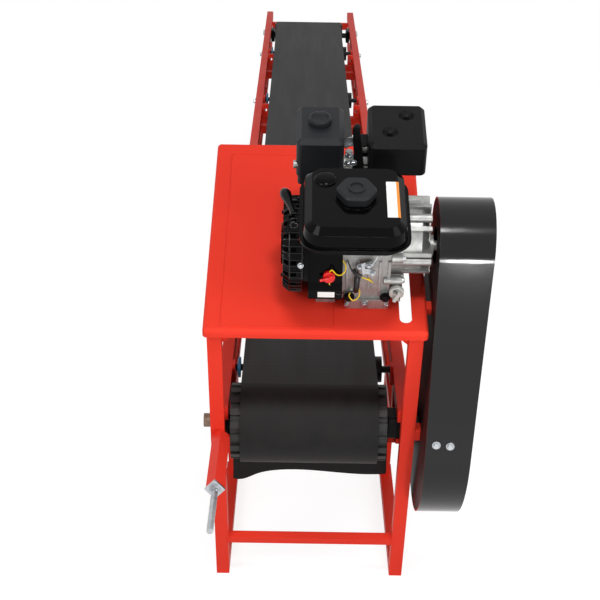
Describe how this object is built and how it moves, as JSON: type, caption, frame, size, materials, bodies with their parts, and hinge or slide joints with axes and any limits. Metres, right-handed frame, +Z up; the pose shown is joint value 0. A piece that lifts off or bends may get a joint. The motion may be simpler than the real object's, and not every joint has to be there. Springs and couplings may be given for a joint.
{
  "type": "belt conveyor for firewood",
  "caption": "Level belt conveyor on a tube truss with wheels; a stand at the drive end carries a petrol engine and guarded belt drive over the drum.",
  "frame": {"origin": "on the floor under the middle of the whole machine's box", "axes": "+X to the right seen from the drive end, +Y along the belt from the drive drum to the tail, +Z up"},
  "size_m": [0.645, 4.85, 1.1678],
  "materials": {
    "red_paint": "gloss powder coat",
    "belt_rubber": "matte, fine cloth print",
    "black_sheet": "semi-gloss black powder coat",
    "black_plastic": "moulded, gloss",
    "matte_black": "moulded, grained",
    "cast_aluminium": "as cast",
    "zinc": "zinc plated",
    "dark_steel": "bare, oiled",
    "cast_iron_black": "painted black",
    "red_plastic": "moulded",
    "tyre": "moulded tread"
  },
  "bodies": {
    "root": {"air_cleaner": "matte_black", "axle": "zinc", "axle_stays": "red_paint", "bearing_guide_left": "red_paint", "bearing_guide_right": "red_paint", "carburettor": "cast_aluminium", "carrying_idlers": "matte_black", "control_box": "matte_black", "conveyor_belt": "belt_rubber", "crankcase": "cast_aluminium", "cross_members": "red_paint", "cylinder": "cast_aluminium", "deck_bar_front": "red_paint", "deck_bar_left": "red_paint", "deck_bar_rear": "red_paint", "deck_bar_right": "red_paint", "deck_plate": "red_paint", "deck_posts": "red_paint", "drive_belts": "belt_rubber", "drive_drum": "dark_steel", "driven_pulley": "cast_iron_black", "drum_bearing_left": "cast_iron_black", "drum_bearing_right": "cast_iron_black", "engine_pulley": "cast_iron_black", "engine_shroud": "black_plastic", "flap_bar": "red_paint", "front_leg_left": "red_paint", "front_leg_right": "red_paint", "fuel_cap": "matte_black", "fuel_tank": "black_plastic", "guard_brackets": "red_paint", "guard_inner": "black_sheet", "guard_outer": "black_sheet", "guard_rim": "black_sheet", "idler_brackets": "red_paint", "joint_plates": "red_paint", "leg_crossbar": "red_paint", "lower_chord_left": "red_paint", "lower_chord_right": "red_paint", "muffler": "cast_iron_black", "pto_cover": "cast_aluminium", "rail_left": "red_paint", "rail_right": "red_paint", "rear_legs": "red_paint", "recoil_grip": "matte_black", "recoil_starter": "black_plastic", "return_brackets": "red_paint", "return_idlers": "matte_black", "rubber_flap": "belt_rubber", "skids": "red_paint", "switch_knob": "red_plastic", "tail_bearings": "cast_iron_black", "tail_roller": "dark_steel", "take_up_screw": "zinc", "take_up_tube": "red_paint", "truss_webs": "red_paint"},
    "wheel_left": {"wheel_rim_left": "red_paint", "tyre_left": "tyre"},
    "wheel_right": {"wheel_rim_right": "red_paint", "tyre_right": "tyre"}
  },
  "joints": [
    {"name": "wheel_left_turn", "type": "hinge", "parent": "root", "child": "wheel_left", "pos_m": [-0.28552, -0.055, 0.165], "axis": [1, 0, 0], "continuous": true},
    {"name": "wheel_right_turn", "type": "hinge", "parent": "root", "child": "wheel_right", "pos_m": [0.22048, -0.055, 0.165], "axis": [1, 0, 0], "continuous": true}
  ]
}
